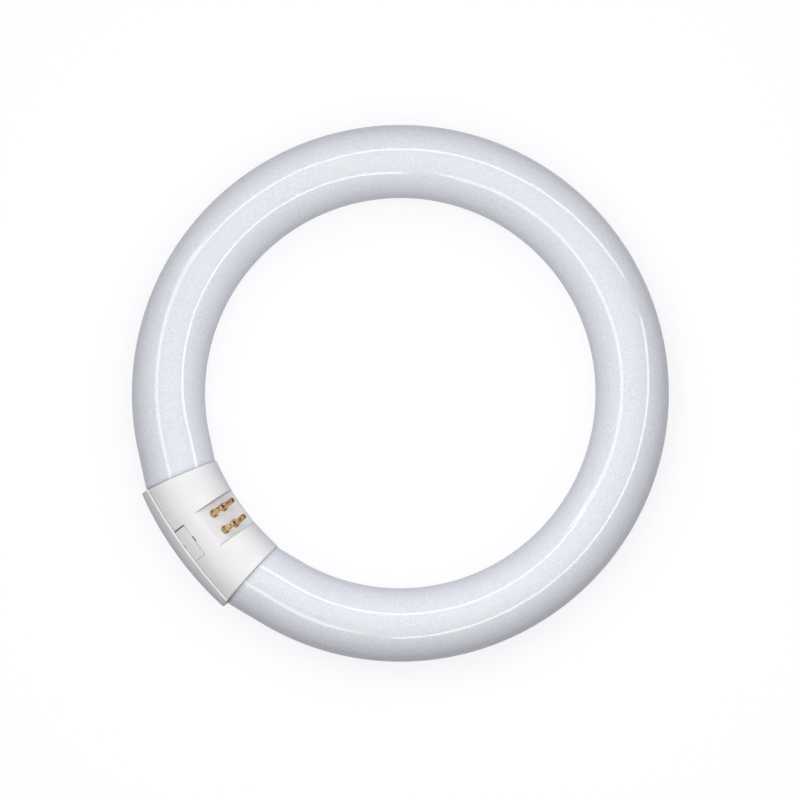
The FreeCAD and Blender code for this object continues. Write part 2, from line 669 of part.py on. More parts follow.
def check_and_write(nodes):
    """Stops at the first failed object or bad solid, and otherwise writes every node."""
    for thing in doc.Objects:
        if "Invalid" in thing.State or "Error" in thing.State:
            raise RuntimeError(f"{thing.Name} failed: {thing.State}")
    for node in nodes:
        shape = node.Shape
        if shape.isNull() or not shape.isValid() or not shape.Solids:
            raise RuntimeError(f"{node.Label} has no valid solid")
    os.makedirs("parts", exist_ok=True)
    for node in nodes:
        shape = node.Shape
        print(node.Label, len(shape.Solids), "solid", round(shape.Volume, 1), "cubic millimetres")
        shape.exportStep(f"parts/{node.Label}.step")


glass_seats = make_glass_seats()
nodes = [make_glass_tube(), make_front_shell(glass_seats), make_rear_shell(glass_seats)]
for pin_index, (pin_along, pin_across) in enumerate(PIN_PLACES, start=1):
    nodes.append(make_contact_pin(pin_index, pin_along, pin_across))
doc.recompute()
for pin_index, (pin_along, pin_across) in enumerate(PIN_PLACES, start=1):
    lamp_side = LAMP_SIDES[pin_index - 1]
    rise = number("worked.lead_spread") * LEAD_RISES[pin_index - 1]
    nodes += make_lead(pin_index, lamp_side, pin_along, pin_across, rise)
doc.recompute()
check_and_write(nodes)
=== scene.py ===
# %% [markdown]
# # A ring-shaped fluorescent tube with a snap-on base
#
# The real lamp is a bent glass tube, powder-coated inside, whose two sealed ends meet in a small
# moulded base with four hollow brass pins. The construction model gives every piece its size and
# place. This lesson dresses it: it makes the glass and the pins again as smooth meshes, gives each
# piece the finish of its real material, and lights the lamp as in a plain studio.

# %% Load the construction model
import json
import math
from mathutils import Matrix, Vector
import bmesh
import bpy


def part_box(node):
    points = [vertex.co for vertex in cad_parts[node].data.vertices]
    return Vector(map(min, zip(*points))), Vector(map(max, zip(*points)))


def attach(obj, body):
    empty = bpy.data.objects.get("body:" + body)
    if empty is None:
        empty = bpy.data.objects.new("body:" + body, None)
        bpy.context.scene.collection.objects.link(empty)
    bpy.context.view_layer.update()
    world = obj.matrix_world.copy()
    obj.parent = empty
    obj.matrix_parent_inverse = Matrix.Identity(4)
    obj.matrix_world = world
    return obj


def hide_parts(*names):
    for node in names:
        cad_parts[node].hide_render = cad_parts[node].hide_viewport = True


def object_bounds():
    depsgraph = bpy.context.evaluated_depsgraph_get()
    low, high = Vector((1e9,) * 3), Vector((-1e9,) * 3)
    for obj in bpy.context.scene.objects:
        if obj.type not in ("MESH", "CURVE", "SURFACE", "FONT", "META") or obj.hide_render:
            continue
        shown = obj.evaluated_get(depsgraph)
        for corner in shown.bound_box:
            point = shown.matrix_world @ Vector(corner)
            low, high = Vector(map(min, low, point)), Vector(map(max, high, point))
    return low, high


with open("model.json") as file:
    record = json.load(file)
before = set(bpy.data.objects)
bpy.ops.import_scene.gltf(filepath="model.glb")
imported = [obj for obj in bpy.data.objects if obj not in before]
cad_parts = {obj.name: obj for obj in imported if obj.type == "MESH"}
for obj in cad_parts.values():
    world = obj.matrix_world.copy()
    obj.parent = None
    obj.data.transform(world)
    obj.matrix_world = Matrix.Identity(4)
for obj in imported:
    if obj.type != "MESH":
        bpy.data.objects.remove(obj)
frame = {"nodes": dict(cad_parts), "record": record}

cad_low, cad_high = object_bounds()
scene = bpy.context.scene
print("nodes:", sorted(frame["nodes"]))

# %% [markdown]
# ## Real sizes
#
# The lamp is known by two sizes, the outside of the ring and the outside of the tube. Both can be
# read off the construction model's glass, so nothing drifts if that model changes. The few other
# sizes are the lamp's own, in millimetres, turned to metres by one factor.

# %% Sizes of the ring
MM = 0.001
GLASS_LOW, GLASS_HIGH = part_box("glass_tube")
RING_OUTSIDE = GLASS_HIGH.x
TUBE_RADIUS = (GLASS_HIGH.z - GLASS_LOW.z) / 2
RING_RADIUS = RING_OUTSIDE - TUBE_RADIUS
print("ring radius", round(RING_RADIUS / MM, 2), "mm, tube radius", round(TUBE_RADIUS / MM, 2), "mm")

# %% Sizes of the base
BASE_LENGTH = 49 * MM
BASE_BEND_RADIUS = 117 * MM
# How far the base's centre line lies outside the tube's at the middle, and inside it at the ends.
BASE_STANDOFF = 0.75 * MM
ENTRY_SET_IN = 0.35 * MM
# How far the glass reaches into the base.
GLASS_ENTRY = 6 * MM
BASE_CENTRE = RING_RADIUS + BASE_STANDOFF
BEND_CENTRE = BASE_BEND_RADIUS - BASE_CENTRE
BASE_ANGLE = math.asin(BASE_LENGTH / 2 / BASE_BEND_RADIUS)
print("base spans", round(2 * math.degrees(BASE_ANGLE), 1), "degrees of its own bend")

# %% [markdown]
# ## Small helpers
#
# Colours are written as the sRGB values that a colour picker shows, and a shader wants linear
# light, so one function turns them. Another adds a shader node with its settings and its links in
# one line. A third turns a finished mesh into an object that rides on the lamp.
#
# Sockets are given by name where the name is clear, and by number where several share one. A maths
# node's are 0, 1 and 2. A colour mix's factor is 0, its two colours are 6 and 7, and its result is
# output 2.

# %% Colour and node helpers
def linear(hex_colour):
    """An sRGB colour such as #F0F0F0 as linear red, green, blue and alpha, by the standard's curve."""
    channels = [int(hex_colour[i:i + 2], 16) / 255 for i in (1, 3, 5)]
    lit = [c / 12.92 if c <= 0.04045 else ((c + 0.055) / 1.055) ** 2.4 for c in channels]
    return (*lit, 1.0)


def add(tree, kind, inputs=None, **settings):
    """Adds a shader node. Inputs are values or the output sockets that feed them."""
    node = tree.nodes.new("ShaderNode" + kind)
    for name, value in settings.items():
        setattr(node, name, value)
    for name, value in (inputs or {}).items():
        socket = node.inputs[name]
        if isinstance(value, bpy.types.NodeSocket):
            tree.links.new(value, socket)
        else:
            socket.default_value = value
    return node


def new_material(name):
    """A material and its node tree, still empty."""
    material = bpy.data.materials.new(name)
    material.use_nodes = True
    material.node_tree.nodes.clear()
    return material, material.node_tree


print("the middle grey #808080 gives back", round(linear("#808080")[0], 2), "of the light")

# %% Mesh helper
# Edges that turn more than this stay sharp, and the others shade smoothly.
SHARP_ANGLE = math.radians(35)


def finish_piece(name, mesh_builder, material, slot, *replaced):
    """Turns a bmesh into a smooth-shaded object that stands for the given construction nodes."""
    for face in mesh_builder.faces:
        face.smooth = True
    for edge in mesh_builder.edges:
        edge.smooth = len(edge.link_faces) == 2 and edge.calc_face_angle(0) < SHARP_ANGLE
    mesh = bpy.data.meshes.new(name)
    mesh_builder.to_mesh(mesh)
    mesh_builder.free()
    mesh.materials.append(material)
    piece = bpy.data.objects.new(name, mesh)
    scene.collection.objects.link(piece)
    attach(piece, "root")
    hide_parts(*replaced)
    print(name, "has", len(mesh.polygons), "faces")


# %% [markdown]
# ## The camera
#
# The photo looks down on the lamp from far above, so a long lens keeps the ring a true circle. It
# doesn't look quite straight down: the pins and the ends of the base stand a little to one side of
# where they would be. So the camera leans a few degrees along the base. The lamp is also turned in
# the picture, so the camera turns about its own view by that angle.

# %% Set up the camera
# The picture's side and the ring's rise above its middle are in pixels, the sensor in millimetres.
PICTURE = 800
RING_ABOVE_MIDDLE = 7.2
PIXELS_PER_METRE = 2488
SENSOR_WIDTH = 36
CAMERA_HEIGHT = 2.0
PICTURE_TURN = math.radians(54.1)
CAMERA_LEAN = math.radians(3)

camera_data = bpy.data.cameras.new("camera")
camera_data.sensor_width = SENSOR_WIDTH
camera_data.lens = SENSOR_WIDTH * CAMERA_HEIGHT * PIXELS_PER_METRE / PICTURE
camera = bpy.data.objects.new("camera", camera_data)
scene.collection.objects.link(camera)
camera_below = -RING_ABOVE_MIDDLE / PIXELS_PER_METRE
camera.matrix_world = (
    Matrix.Rotation(CAMERA_LEAN, 4, "Y") @ Matrix.Rotation(PICTURE_TURN, 4, "Z")
    @ Matrix.Translation((0, camera_below, CAMERA_HEIGHT)))
scene.camera = camera
print("lens", round(camera_data.lens, 1), "mm")


def picture_direction(degrees):
    """A level direction on the lamp that points this way in the picture, 0 right and 90 up."""
    angle = math.radians(degrees) + PICTURE_TURN
    return Vector((math.cos(angle), math.sin(angle), 0))


# %% [markdown]
# ## The far light of the studio
#
# White glass on a white table shows its form only by soft shading and by what it mirrors. The photo
# has three long strip lights overhead, which draw the two thin lines along the tube, with a dimmer
# panel between them and a wide soft light from the upper left. Area lights could do this, but all
# of it is far away, so it is painted into the world by the direction that a ray goes. Mirroring
# surfaces also see the glare of the strips and the white backdrop round the table, and the camera
# itself sees plain white.

# %% Measure directions in the world
world = bpy.data.worlds.new("studio")
scene.world = world
world.use_nodes = True
sky = world.node_tree
sky.nodes.clear()
ray = add(sky, "TexCoord").outputs["Generated"]


def along(direction):
    """How far a ray leans to a direction, from -1 to 1."""
    lean = add(sky, "VectorMath", {0: ray, 1: direction}, operation="DOT_PRODUCT")
    return lean.outputs["Value"]


# %% Paint the strips and the panel between them
PANEL_LEVEL = 0.55
# Each strip: the way that it lies in the picture and its lean from the zenith in degrees, its
# brightness, and how much brighter it looks in a mirroring surface, where its glare shows.
STRIPS = [(102, 34, 3.3, 1.6), (209, 28.5, 2.0, 1.95), (308, 34, 2.4, 2.6)]
# Each strip's half width, its middle and its half length, as the lean of a ray, 1 at the horizon.
STRIP_SIZES = [(0.048, 0.195, 0.665), (0.082, 0.155, 0.585), (0.048, -0.21, 0.66)]

upward = along((0, 0, 1))
mirrored_ray = add(sky, "LightPath").outputs["Is Glossy Ray"]
above = add(sky, "Math", {0: upward, 1: 0.0}, operation="GREATER_THAN").outputs[0]
panel = add(sky, "Math", {0: above, 1: PANEL_LEVEL}, operation="MULTIPLY").outputs[0]
strips = 0.0
for (way, lean, brightness, glare), (half_width, middle, half_length) in zip(STRIPS, STRIP_SIZES):
    outward = picture_direction(way)
    across = outward.cross(Vector((0, 0, 1)))
    # The level side of the plane through the strip and the lamp leans outward and down.
    normal = outward * math.cos(math.radians(lean)) - Vector((0, 0, math.sin(math.radians(lean))))
    past = along(normal)
    inside = add(sky, "Math", {0: past, 1: 0.0}, operation="LESS_THAN").outputs[0]
    panel = add(sky, "Math", {0: panel, 1: inside}, operation="MULTIPLY").outputs[0]
    on_line = add(sky, "Math", {0: past, 1: 0.0, 2: half_width}, operation="COMPARE").outputs[0]
    in_reach = add(sky, "Math", {0: along(across), 1: middle, 2: half_length},
                   operation="COMPARE").outputs[0]
    shine = add(sky, "Math", {0: mirrored_ray, 1: brightness * (glare - 1), 2: brightness},
                operation="MULTIPLY_ADD").outputs[0]
    shape = add(sky, "Math", {0: on_line, 1: in_reach}, operation="MULTIPLY").outputs[0]
    strip = add(sky, "Math", {0: shape, 1: shine}, operation="MULTIPLY").outputs[0]
    overhead = add(sky, "Math", {0: strip, 1: above}, operation="MULTIPLY").outputs[0]
    strips = add(sky, "Math", {0: strips, 1: overhead}, operation="MAXIMUM").outputs[0]
print("strips and panel:", len(sky.nodes), "nodes")

# %% Paint the soft light and the dim room
ROOM_LEVEL = 0.225
SOFT_LEVEL = 0.4
# The side that it comes from in the picture, in degrees.
SOFT_SIDE = 125
SOFT_RISE = math.radians(35)
SOFT_FOCUS = 3.0
# The white backdrop stands round the table, and mirroring surfaces show it.
BACKDROP_LEVEL = 0.3
BACKDROP_TOP = 0.5

soft_way = picture_direction(SOFT_SIDE) * math.cos(SOFT_RISE) + Vector((0, 0, math.sin(SOFT_RISE)))
soft_side = add(sky, "Math", {0: along(soft_way), 1: 0.0}, operation="MAXIMUM").outputs[0]
soft_lobe = add(sky, "Math", {0: soft_side, 1: SOFT_FOCUS}, operation="POWER").outputs[0]
room = add(sky, "Math", {0: soft_lobe, 1: SOFT_LEVEL, 2: ROOM_LEVEL},
           operation="MULTIPLY_ADD").outputs[0]
backdrop = add(sky, "MapRange", {"Value": upward, "From Max": BACKDROP_TOP,
                                 "To Min": BACKDROP_LEVEL, "To Max": 0.0},
               interpolation_type="SMOOTHSTEP").outputs[0]
surroundings = add(sky, "Math", {0: backdrop, 1: mirrored_ray, 2: room},
                   operation="MULTIPLY_ADD").outputs[0]
lamps = add(sky, "Math", {0: panel, 1: strips}, operation="MAXIMUM").outputs[0]
level = add(sky, "Math", {0: surroundings, 1: lamps}, operation="ADD").outputs[0]
print("with the soft light and the room:", len(sky.nodes), "nodes")

# %% Light the world
# Light from low down comes off the walls and is a little bluer than the lamps overhead.
tint = add(sky, "Mix", {0: upward, 6: linear("#E2E4FF"), 7: linear("#FFFDF3")}, data_type="RGBA")
lit = add(sky, "Background", {"Color": tint.outputs[2], "Strength": level})
white = add(sky, "Background", {"Color": linear("#FFFFFF"), "Strength": 1.0})
seen = add(sky, "LightPath").outputs["Is Camera Ray"]
both = add(sky, "MixShader", {0: seen, 1: lit.outputs[0], 2: white.outputs[0]})
add(sky, "OutputWorld", {"Surface": both.outputs[0]})
scene.view_settings.view_transform = "Standard"
print("world nodes:", len(sky.nodes))

# %% [markdown]
# ## The near light
#
# Everything that faces the ring's middle is a little brighter in the photo than what faces outward,
# all the way round. A light far away can't do that, but a soft round one close above the middle
# does. It has a place, so it is an area light and no part of the world.

# %% Hang the near light
NEAR_HEIGHT = 0.24
NEAR_RADIUS = 0.12
NEAR_POWER = 0.21

near_data = bpy.data.lights.new("near_light", "AREA")
near_data.shape = "DISK"
near_data.size = 2 * NEAR_RADIUS
near_data.energy = NEAR_POWER
near_light = bpy.data.objects.new("near_light", near_data)
near_light.location = (0, 0, NEAR_HEIGHT)
# The photo mirrors no round lamp, so this one stays out of reflections.
near_light.visible_glossy = False
scene.collection.objects.link(near_light)
print("near light", NEAR_HEIGHT, "m above the ring")

# %% [markdown]
# ## The table
#
# The lamp lies on a white table, on the rounded back of its base. The table is a plain disc with a
# grey paint, so that it throws only a little light up at the lamp. A glow that only the camera and
# mirroring surfaces see lifts it to the photo's white, and the soft shadow stays.

# %% Lay the table
TABLE_RADIUS = 3.0
TABLE_SIDES = 96
TABLE_LIFT = 0.82
MIRRORED_LIFT = 0.5

table_paint, tree = new_material("table_matt_paint")
diffuse = add(tree, "BsdfDiffuse", {"Color": linear("#7F7D87")})
path = add(tree, "LightPath")
mirrored = add(tree, "Math", {0: path.outputs["Is Glossy Ray"],
                              1: path.outputs["Is Transmission Ray"]}, operation="MAXIMUM")
mirrored_lift = add(tree, "Math", {0: mirrored.outputs[0], 1: MIRRORED_LIFT}, operation="MULTIPLY")
lift = add(tree, "MapRange", {"Value": path.outputs["Is Camera Ray"],
                              "To Min": mirrored_lift.outputs[0], "To Max": TABLE_LIFT})
glow = add(tree, "Emission", {"Color": linear("#FFFFFF"), "Strength": lift.outputs[0]})
total = add(tree, "AddShader", {0: diffuse.outputs[0], 1: glow.outputs[0]})
add(tree, "OutputMaterial", {"Surface": total.outputs[0]})

table_builder = bmesh.new()
bmesh.ops.create_circle(table_builder, cap_ends=True, segments=TABLE_SIDES, radius=TABLE_RADIUS)
table_mesh = bpy.data.meshes.new("table")
table_builder.to_mesh(table_mesh)
table_builder.free()
table_mesh.transform(Matrix.Translation((0, 0, cad_low.z)))
table_mesh.materials.append(table_paint)
table = bpy.data.objects.new("table", table_mesh)
scene.collection.objects.link(table)
print("table at", round(cad_low.z / MM, 2), "mm")

# %% [markdown]
# ## Finish: powder-coated glass
#
# The tube is soda-lime glass with white phosphor powder on its inner wall. The eye sees the powder,
# a cool white with a fine grain, through a hard clear gloss. One principled shader has both: a
# matt base colour for the powder, and a smooth reflecting surface with the index of glass. Where the
# base's lip closes round the tube, a thin band of painted shade darkens the colour, found by how
# open the surface is.

# %% Make the coated glass
# The real powder is far too fine to show, so its grain is drawn coarser.
POWDER_GRAIN = 0.9 * MM
POWDER_CLOUD = 14 * MM
# The grain is darkest where its noise is under the low value, and palest over the high one.
GRAIN_LOW = 0.3
GRAIN_HIGH = 0.7
# How open the surface is where the painted shade at the lip is darkest and where it ends, 1 in the
# open.
LIP_SHADE_DARKEST = 0.3
LIP_SHADE_END = 0.97
LIP_SHADE_REACH = 2.2 * MM
SHADE_SAMPLES = 8

coated_glass, tree = new_material("phosphor_coated_glass")
place = add(tree, "TexCoord").outputs["Object"]
grain = add(tree, "TexNoise", {"Vector": place, "Scale": 1 / POWDER_GRAIN, "Detail": 3.0,
                               "Roughness": 0.6})
cloud = add(tree, "TexNoise", {"Vector": place, "Scale": 1 / POWDER_CLOUD, "Detail": 2.0})
mottle = add(tree, "MapRange", {"Value": grain.outputs[0], "From Min": GRAIN_LOW,
                                "From Max": GRAIN_HIGH})
powder = add(tree, "Mix", {0: mottle.outputs[0], 6: linear("#D2D6E2"), 7: linear("#F0F3F8")},
             data_type="RGBA")
cloudy = add(tree, "Mix", {0: cloud.outputs[0], 6: powder.outputs[2], 7: linear("#E5E8EF")},
             data_type="RGBA")
# Painted shade: where the base's lip closes round the tube, the colour is mixed toward a dark
# blue-grey.
openness = add(tree, "AmbientOcclusion", {"Distance": LIP_SHADE_REACH}, samples=SHADE_SAMPLES)
painted_lip_shade = add(tree, "MapRange", {"Value": openness.outputs["AO"], "From Min": LIP_SHADE_DARKEST,
                              "From Max": LIP_SHADE_END, "To Min": 1.0, "To Max": 0.0})
shaded_coating = add(tree, "Mix", {0: painted_lip_shade.outputs[0], 6: cloudy.outputs[2], 7: linear("#6E7484")},
              data_type="RGBA")
surface = add(tree, "BsdfPrincipled", {
    "Base Color": shaded_coating.outputs[2],
    "Roughness": 0.055,
    "IOR": 1.52,
})
add(tree, "OutputMaterial", {"Surface": surface.outputs[0]})
print(coated_glass.name, "has", len(tree.nodes), "nodes")

# %% [markdown]
# ## The glass tube
#
# The maker bends one straight tube round a drum, and pulls both ends out a short way straight. So
# the mesh starts as one circle, is spun round the ring's axis, and its two open ends are then drawn
# on along the straight runs, over the rounded shoulder and into the re-entrant stem. A torus would
# be quicker, but it has no ends to draw out.

# %% Work out where the bend ends
# The tube enters the base at a point just inside the base's own bend. The tangent from there to the
# ring is the straight run, and it touches the ring where the bend ends.
ENTRY_REACH = BASE_BEND_RADIUS - ENTRY_SET_IN
entry = Vector((ENTRY_REACH * math.sin(BASE_ANGLE), BEND_CENTRE - ENTRY_REACH * math.cos(BASE_ANGLE)))
entry_run = math.sqrt(entry.length ** 2 - RING_RADIUS ** 2)
run_angle = math.asin(entry.x / entry.length) + math.acos(RING_RADIUS / entry.length)
print("bend ends", round(math.degrees(run_angle), 2), "degrees from the base's middle")

# %% Draw the sealed end's profile
EXHAUST_TIP_RADIUS = 2.2 * MM
EXHAUST_TIP_REACH = 2.5 * MM
STEM_FLOOR_RADIUS = 6.0 * MM
STEM_MOUTH_RADIUS = 8.6 * MM
STEM_DEPTH = 4.5 * MM
RIM_RADIUS = 9.75 * MM
SHOULDER_RADIUS = TUBE_RADIUS - RIM_RADIUS
RUN_STEPS = 4
SHOULDER_STEPS = 10
TIP_STEPS = 6

glass_end = entry_run + GLASS_ENTRY
run_length = glass_end - SHOULDER_RADIUS
end_profile = [(run_length * step / RUN_STEPS, TUBE_RADIUS) for step in range(1, RUN_STEPS + 1)]
for step in range(1, SHOULDER_STEPS + 1):
    turn = math.pi / 2 * step / SHOULDER_STEPS
    end_profile.append((run_length + SHOULDER_RADIUS * math.sin(turn),
                        RIM_RADIUS + SHOULDER_RADIUS * math.cos(turn)))
end_profile += [
    (glass_end, STEM_MOUTH_RADIUS),
    (glass_end - STEM_DEPTH, STEM_FLOOR_RADIUS),
    (glass_end - STEM_DEPTH, EXHAUST_TIP_RADIUS),
    (glass_end + EXHAUST_TIP_REACH - EXHAUST_TIP_RADIUS, EXHAUST_TIP_RADIUS),
]
for step in range(1, TIP_STEPS):
    turn = math.pi / 2 * step / TIP_STEPS
    end_profile.append((glass_end + EXHAUST_TIP_REACH - EXHAUST_TIP_RADIUS * (1 - math.sin(turn)),
                        EXHAUST_TIP_RADIUS * math.cos(turn)))
print("sealed end reaches", round(glass_end / MM, 2), "mm past the bend")

# %% Spin the ring and draw out its ends
SECTION_POINTS = 96
BEND_STEPS = 320

glass = bmesh.new()
first_ring = bmesh.ops.create_circle(glass, segments=SECTION_POINTS, radius=TUBE_RADIUS)["verts"]
stand_up = Matrix.Rotation(math.pi / 2, 4, "X")
bmesh.ops.transform(glass, matrix=Matrix.Translation((RING_RADIUS, 0, 0)) @ stand_up, verts=first_ring)
start_turn = Matrix.Rotation(run_angle - math.pi / 2, 4, "Z")
bmesh.ops.transform(glass, matrix=start_turn, verts=first_ring)
spun = bmesh.ops.spin(
    glass, geom=glass.verts[:] + glass.edges[:], cent=(0, 0, 0), axis=(0, 0, 1),
    angle=2 * math.pi - 2 * run_angle, steps=BEND_STEPS)
last_ring = [item for item in spun["geom_last"] if isinstance(item, bmesh.types.BMVert)]


def draw_out(builder, ring, side):
    """Carries one open end of the tube on along its straight run, through the end's profile."""
    start = Vector((side * RING_RADIUS * math.sin(run_angle), -RING_RADIUS * math.cos(run_angle), 0))
    along_run = Vector((-side * math.cos(run_angle), -math.sin(run_angle), 0))
    middle = start
    radius = TUBE_RADIUS
    verts = set(ring)
    edges = [edge for edge in builder.edges if edge.verts[0] in verts and edge.verts[1] in verts]
    for reach, wanted in end_profile:
        fresh = bmesh.ops.extrude_edge_only(builder, edges=edges)["geom"]
        verts = [item for item in fresh if isinstance(item, bmesh.types.BMVert)]
        edges = [item for item in fresh if isinstance(item, bmesh.types.BMEdge)
                 and len(item.link_faces) == 1]
        bmesh.ops.translate(builder, vec=start + along_run * reach - middle, verts=verts)
        middle = start + along_run * reach
        bmesh.ops.scale(builder, vec=Vector((1, 1, 1)) * wanted / radius,
                        space=Matrix.Translation(-middle), verts=verts)
        radius = wanted
    bmesh.ops.contextual_create(builder, geom=edges)


draw_out(glass, first_ring, 1)
draw_out(glass, last_ring, -1)
bmesh.ops.recalc_face_normals(glass, faces=glass.faces)
finish_piece("bent_glass_tube", glass, coated_glass, "coated_glass", "glass_tube")

# %% [markdown]
# ## Finish: moulded base
#
# The shells are injection moulded in an off-white plastic. The mould is lightly textured, so the
# surface is matt with a very fine grain, and its gloss is low and broad. Narrow gaps, such as those
# round the latch, hold hardly any light, and painted shade darkens the colour deep inside them.

# %% Make the moulded plastic
# The grain of a real mould is about a tenth of a millimetre, too fine to show, so it is coarser here.
MOULD_GRAIN = 0.35 * MM
MOULD_DEPTH = 0.05 * MM
TONE_PATCH = 9 * MM
EDGE_ROUND = 0.15 * MM
EDGE_SAMPLES = 6
# How open the surface is where a gap's painted shade is full and where it ends, 1 in the open.
GAP_DEEP = 0.2
GAP_MOUTH = 0.8
GAP_REACH = 1.2 * MM

base_plastic, tree = new_material("moulded_matt_plastic")
place = add(tree, "TexCoord").outputs["Object"]
texture = add(tree, "TexNoise", {"Vector": place, "Scale": 1 / MOULD_GRAIN, "Detail": 2.0})
patches = add(tree, "TexNoise", {"Vector": place, "Scale": 1 / TONE_PATCH, "Detail": 2.0})
tone = add(tree, "Mix", {0: patches.outputs[0], 6: linear("#E8E6EB"), 7: linear("#F3F5F3")},
           data_type="RGBA")
rounded = add(tree, "Bevel", {"Radius": EDGE_ROUND}, samples=EDGE_SAMPLES)
relief = add(tree, "Bump", {"Strength": 0.12, "Distance": MOULD_DEPTH, "Height": texture.outputs[0],
                            "Normal": rounded.outputs[0]})
# Painted shade: deep in narrow gaps the colour is mixed toward a dark grey.
crevice = add(tree, "AmbientOcclusion", {"Distance": GAP_REACH}, samples=SHADE_SAMPLES)
painted_gap_shade = add(tree, "MapRange", {"Value": crevice.outputs["AO"], "From Min": GAP_DEEP,
                              "From Max": GAP_MOUTH, "To Min": 1.0, "To Max": 0.0})
shaded_tone = add(tree, "Mix", {0: painted_gap_shade.outputs[0], 6: tone.outputs[2], 7: linear("#4A4546")},
            data_type="RGBA")
surface = add(tree, "BsdfPrincipled", {
    "Base Color": shaded_tone.outputs[2],
    "Roughness": 0.5,
    "IOR": 1.5,
    "Normal": relief.outputs[0],
})
add(tree, "OutputMaterial", {"Surface": surface.outputs[0]})
print(base_plastic.name, "has", len(tree.nodes), "nodes")

# %% [markdown]
# ## Finish: drawn brass
#
# The pins are drawn brass with a thin film of tarnish, so they are golden where they mirror the
# light and brown where they mirror each other. On a metal the principled shader's base colour is
# what tints its reflections, so patches of two brass colours make the film. Tarnish stays longest
# in the corners that no plug rubs, and painted shade darkens the same corners, so both are found by
# how open the surface is and painted as one dark brown.

# %% Make the brass
FILM_PATCH = 1.0 * MM
# The film is darkest where its noise is under the low value, and bare brass over the high one.
FILM_LOW = 0.36
FILM_HIGH = 0.62
# How open the surface is where the tarnish and painted shade are full and where they end, 1 in the
# open.
TARNISH_AND_SHADE_FULL = 0.35
TARNISH_AND_SHADE_END = 0.95
TARNISH_AND_SHADE_REACH = 1.3 * MM

pin_brass, tree = new_material("drawn_brass")
place = add(tree, "TexCoord").outputs["Object"]
film = add(tree, "TexNoise", {"Vector": place, "Scale": 1 / FILM_PATCH, "Detail": 4.0})
uneven = add(tree, "MapRange", {"Value": film.outputs[0], "From Min": FILM_LOW,
                                "From Max": FILM_HIGH})
clean = add(tree, "Mix", {0: uneven.outputs[0], 6: linear("#BE8C54"), 7: linear("#F3D4A6")},
            data_type="RGBA")
# Tarnish and painted shade: in corners the brass colour is mixed toward a dark brown.
corner = add(tree, "AmbientOcclusion", {"Distance": TARNISH_AND_SHADE_REACH}, samples=SHADE_SAMPLES)
tarnish_and_shade = add(tree, "MapRange", {"Value": corner.outputs["AO"], "From Min": TARNISH_AND_SHADE_FULL,
                                 "From Max": TARNISH_AND_SHADE_END, "To Min": 1.0, "To Max": 0.0})
colour = add(tree, "Mix", {0: tarnish_and_shade.outputs[0], 6: clean.outputs[2], 7: linear("#4E3B26")},
             data_type="RGBA")
surface = add(tree, "BsdfPrincipled", {
    "Base Color": colour.outputs[2],
    "Metallic": 1.0,
    "Roughness": 0.15,
})
add(tree, "OutputMaterial", {"Surface": surface.outputs[0]})
print(pin_brass.name, "has", len(tree.nodes), "nodes")

# %% [markdown]
# ## Finish: nickel-plated wire
#
# The lead wires are bare nickel-plated steel, a pale grey metal with a soft shine. The die that the
# wire was drawn through leaves fine marks, and a fine noise between two greys is enough for them.

# %% Make the wire's metal
# The marks that the drawing die leaves are about this far apart.
DRAW_LINE = 0.08 * MM

lead_metal, tree = new_material("nickel_plated_wire")
place = add(tree, "TexCoord").outputs["Object"]
lines = add(tree, "TexNoise", {"Vector": place, "Scale": 1 / DRAW_LINE, "Detail": 1.0})
shade = add(tree, "Mix", {0: lines.outputs[0], 6: linear("#A9A7A2"), 7: linear("#CFCDC8")},
            data_type="RGBA")
surface = add(tree, "BsdfPrincipled", {"Base Color": shade.outputs[2], "Metallic": 1.0,
                                       "Roughness": 0.3})
add(tree, "OutputMaterial", {"Surface": surface.outputs[0]})
print(lead_metal.name, "has", len(tree.nodes), "nodes")

# %% [markdown]
# ## Finish: silicone rubber
#
# The sleeves are extruded silicone rubber, dull and slightly milky. It lets little light through at
# this thickness, so a rough surface with soft cloudy patches does without any transmission.

# %% Make the sleeve's rubber
SLEEVE_PATCH = 2 * MM

sleeve_rubber, tree = new_material("silicone_rubber")
place = add(tree, "TexCoord").outputs["Object"]
milk = add(tree, "TexNoise", {"Vector": place, "Scale": 1 / SLEEVE_PATCH, "Detail": 2.0})
shade = add(tree, "Mix", {0: milk.outputs[0], 6: linear("#D8D6CF"), 7: linear("#E6E4DE")},
            data_type="RGBA")
surface = add(tree, "BsdfPrincipled", {"Base Color": shade.outputs[2], "Roughness": 0.6, "IOR": 1.41})
add(tree, "OutputMaterial", {"Surface": surface.outputs[0]})
print(sleeve_rubber.name, "has", len(tree.nodes), "nodes")

# %% [markdown]
# ## The contact pins
#
# A pin is drawn from brass tube: the foot is rolled over under the pocket's floor, a collar stops it
# on the floor, and the tip is rounded in to a thick, open rim. Half its section, spun once round the
# axis, gives all of that with sharp corners, and a bevel on each ring of edges rounds them. Four
# small jaws then crimp the pin on the lead inside. Each jaw is round, so a dent is deepest in its
# middle and runs out above and below, and moving the points of the wall inwards by the jaw's own
# curve makes just that.

# %% Sizes of a pin
PIN_RADIUS = 1.175 * MM
PIN_BORE_RADIUS = 0.55 * MM
PIN_FLOOR = 2.1 * MM
PIN_LENGTH = 7.0 * MM
PIN_TOP = PIN_FLOOR + PIN_LENGTH
TIP_ROUND = 0.35 * MM
COLLAR_RADIUS = 1.65 * MM
COLLAR_THICKNESS = 0.8 * MM
COLLAR_TOP = PIN_FLOOR + COLLAR_THICKNESS
RIVET_RADIUS = 1.55 * MM
RIVET_TOP = 0.5 * MM
CORNER_ROUND = 0.12 * MM
PIN_SIDES = 64
CORNER_SEGMENTS = 4
TIP_SEGMENTS = 8

